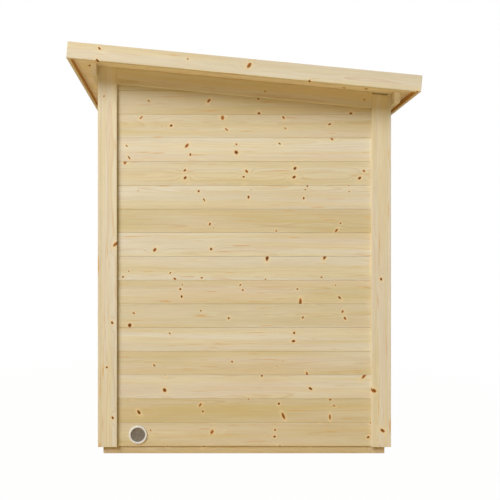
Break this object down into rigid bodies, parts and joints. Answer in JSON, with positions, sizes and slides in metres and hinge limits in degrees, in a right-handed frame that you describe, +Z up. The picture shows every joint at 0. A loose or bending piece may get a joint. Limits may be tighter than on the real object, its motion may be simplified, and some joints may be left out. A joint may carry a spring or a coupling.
{
  "type": "outdoor sauna",
  "caption": "Small boarded timber outdoor sauna with a single-pitch overhanging roof, corner boards, a low round vent and a plain door.",
  "frame": {"origin": "on the ground, under the middle of the whole outline with the roof's overhangs", "axes": "+X to the right along the front wall for someone facing it from outside, +Y from the front (high) wall to the rear (low) wall, +Z up; the vent is in the +X side wall and the door in the front (-Y) wall"},
  "size_m": [2.384, 1.9204, 2.2794],
  "materials": {
    "trim_spruce": "planed, unpainted",
    "cladding_spruce": "planed tongue and groove, unpainted, small knots",
    "soffit_spruce": "planed, unpainted",
    "impregnated_pine": "sawn, unpainted",
    "floor_spruce": "planed, unpainted",
    "wall_lining": "planed lining boards, unpainted",
    "roof_insulation": "sawn boards over insulation",
    "roofing_felt": "mineral surfaced bitumen felt",
    "vent_plastic": "moulded, off-white",
    "vent_mesh": "woven insect mesh",
    "zinc_plated_steel": "zinc plated"
  },
  "bodies": {
    "root": {"base_beam_front": "impregnated_pine", "base_beam_rear": "impregnated_pine", "base_beam_left": "impregnated_pine", "base_beam_right": "impregnated_pine", "floor_boards": "floor_spruce", "front_wall_left": "wall_lining", "front_wall_right": "wall_lining", "front_wall_over_door": "wall_lining", "rear_wall": "wall_lining", "left_wall": "wall_lining", "right_wall": "wall_lining", "front_cladding_left": "cladding_spruce", "front_cladding_right": "cladding_spruce", "front_cladding_over_door": "cladding_spruce", "rear_cladding": "cladding_spruce", "left_cladding": "cladding_spruce", "right_cladding": "cladding_spruce", "corner_front_left_face": "trim_spruce", "corner_front_left_side": "trim_spruce", "corner_front_right_face": "trim_spruce", "corner_front_right_side": "trim_spruce", "corner_rear_left_face": "trim_spruce", "corner_rear_left_side": "trim_spruce", "corner_rear_right_face": "trim_spruce", "corner_rear_right_side": "trim_spruce", "front_trim": "trim_spruce", "rear_trim": "trim_spruce", "left_trim": "trim_spruce", "right_trim": "trim_spruce", "purlin_front": "trim_spruce", "purlin_rear": "trim_spruce", "roof_boards": "soffit_spruce", "roof_core": "roof_insulation", "roof_felt": "roofing_felt", "fascia_front": "trim_spruce", "fascia_rear": "trim_spruce", "fascia_left": "trim_spruce", "fascia_right": "trim_spruce", "vent_ring": "vent_plastic", "vent_mesh": "vent_mesh", "door_leaf": "cladding_spruce", "door_frame": "trim_spruce", "door_casing": "trim_spruce", "door_handle": "trim_spruce", "door_hinges": "zinc_plated_steel"}
  },
  "joints": []
}
